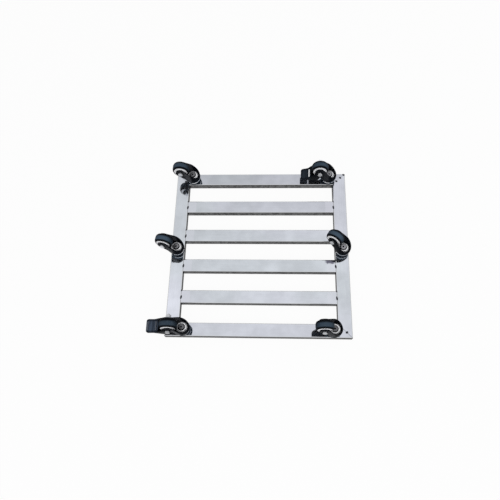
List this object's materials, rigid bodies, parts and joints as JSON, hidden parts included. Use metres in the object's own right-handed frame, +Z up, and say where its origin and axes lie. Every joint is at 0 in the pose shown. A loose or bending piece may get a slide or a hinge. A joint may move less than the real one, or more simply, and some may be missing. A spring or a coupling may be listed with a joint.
{
  "type": "plant caddy",
  "caption": "Square plant caddy: a welded stainless tube deck with open slats on black swivel casters, two with foot brakes",
  "frame": {"origin": "on the floor under the middle of the square deck", "axes": "+Z up; +X to the right and -Y to the front, with the sides of the deck along X and Y"},
  "size_m": [0.4335, 0.4127, 0.075],
  "materials": {
    "frame": "polished stainless tube",
    "zinc": "bright zinc plate",
    "black_paint": "glossy black paint on pressed steel",
    "tyre": "matt black rubber",
    "wheel_core": "white moulded plastic",
    "dust_cap": "black moulded plastic"
  },
  "bodies": {
    "frame": {"front_rail": "frame", "rear_rail": "frame", "left_rail": "frame", "right_rail": "frame", "slat_1": "frame", "slat_2": "frame", "slat_3": "frame", "slat_4": "frame", "rivet_nuts": "zinc", "lower_cups": "zinc", "upper_balls": "zinc", "lower_balls": "zinc", "front_left_stem": "zinc", "front_right_stem": "zinc", "middle_left_stem": "zinc", "middle_right_stem": "zinc", "rear_left_stem": "zinc", "rear_right_stem": "zinc", "front_left_upper_cup": "zinc", "front_right_upper_cup": "zinc", "middle_left_upper_cup": "zinc", "middle_right_upper_cup": "zinc", "rear_left_upper_cup": "zinc", "rear_right_upper_cup": "zinc"},
    "front_left_swivel": {"front_left_fork": "black_paint", "front_left_axle": "zinc"},
    "front_left_wheel": {"front_left_tyre": "tyre", "front_left_core": "wheel_core", "front_left_caps": "dust_cap"},
    "front_right_swivel": {"front_right_fork": "black_paint", "front_right_axle": "zinc", "front_right_brake_leaf": "zinc"},
    "front_right_wheel": {"front_right_tyre": "tyre", "front_right_core": "wheel_core", "front_right_caps": "dust_cap"},
    "front_right_pedal": {"front_right_pedal": "black_paint"},
    "middle_left_swivel": {"middle_left_fork": "black_paint", "middle_left_axle": "zinc"},
    "middle_left_wheel": {"middle_left_tyre": "tyre", "middle_left_core": "wheel_core", "middle_left_caps": "dust_cap"},
    "middle_right_swivel": {"middle_right_fork": "black_paint", "middle_right_axle": "zinc"},
    "middle_right_wheel": {"middle_right_tyre": "tyre", "middle_right_core": "wheel_core", "middle_right_caps": "dust_cap"},
    "rear_left_swivel": {"rear_left_fork": "black_paint", "rear_left_axle": "zinc", "rear_left_brake_leaf": "zinc"},
    "rear_left_wheel": {"rear_left_tyre": "tyre", "rear_left_core": "wheel_core", "rear_left_caps": "dust_cap"},
    "rear_left_pedal": {"rear_left_pedal": "black_paint"},
    "rear_right_swivel": {"rear_right_fork": "black_paint", "rear_right_axle": "zinc"},
    "rear_right_wheel": {"rear_right_tyre": "tyre", "rear_right_core": "wheel_core", "rear_right_caps": "dust_cap"}
  },
  "joints": [
    {"name": "front_left_swivel", "type": "hinge", "parent": "frame", "child": "front_left_swivel", "pos_m": [-0.16, -0.185, 0.06], "axis": [0, 0, 1], "continuous": true},
    {"name": "front_left_roll", "type": "hinge", "parent": "front_left_swivel", "child": "front_left_wheel", "pos_m": [-0.18329, -0.18561, 0.019], "axis": [-0.0262, 0.9997, 0], "continuous": true},
    {"name": "front_right_swivel", "type": "hinge", "parent": "frame", "child": "front_right_swivel", "pos_m": [0.16, -0.185, 0.06], "axis": [0, 0, 1], "continuous": true},
    {"name": "front_right_roll", "type": "hinge", "parent": "front_right_swivel", "child": "front_right_wheel", "pos_m": [0.13671, -0.18581, 0.019], "axis": [-0.0349, 0.9994, 0], "continuous": true},
    {"name": "front_right_brake", "type": "hinge", "parent": "front_right_swivel", "child": "front_right_pedal", "pos_m": [0.13671, -0.18581, 0.019], "axis": [0.0349, -0.9994, 0], "range_deg": [0, 18]},
    {"name": "middle_left_swivel", "type": "hinge", "parent": "frame", "child": "middle_left_swivel", "pos_m": [-0.185, 0, 0.06], "axis": [0, 0, 1], "continuous": true},
    {"name": "middle_left_roll", "type": "hinge", "parent": "middle_left_swivel", "child": "middle_left_wheel", "pos_m": [-0.20801, -0.00364, 0.019], "axis": [-0.1564, 0.9877, 0], "continuous": true},
    {"name": "middle_right_swivel", "type": "hinge", "parent": "frame", "child": "middle_right_swivel", "pos_m": [0.185, 0, 0.06], "axis": [0, 0, 1], "continuous": true},
    {"name": "middle_right_roll", "type": "hinge", "parent": "middle_right_swivel", "child": "middle_right_wheel", "pos_m": [0.16524, -0.01235, 0.019], "axis": [-0.5299, 0.848, 0], "continuous": true},
    {"name": "rear_left_swivel", "type": "hinge", "parent": "frame", "child": "rear_left_swivel", "pos_m": [-0.16, 0.185, 0.06], "axis": [0, 0, 1], "continuous": true},
    {"name": "rear_left_roll", "type": "hinge", "parent": "rear_left_swivel", "child": "rear_left_wheel", "pos_m": [-0.1833, 0.18541, 0.019], "axis": [0.0175, 0.9998, 0], "continuous": true},
    {"name": "rear_left_brake", "type": "hinge", "parent": "rear_left_swivel", "child": "rear_left_pedal", "pos_m": [-0.1833, 0.18541, 0.019], "axis": [-0.0175, -0.9998, 0], "range_deg": [-18, 0]},
    {"name": "rear_right_swivel", "type": "hinge", "parent": "frame", "child": "rear_right_swivel", "pos_m": [0.16, 0.185, 0.06], "axis": [0, 0, 1], "continuous": true},
    {"name": "rear_right_roll", "type": "hinge", "parent": "rear_right_swivel", "child": "rear_right_wheel", "pos_m": [0.1367, 0.1848, 0.019], "axis": [-0.0087, 1, 0], "continuous": true}
  ]
}
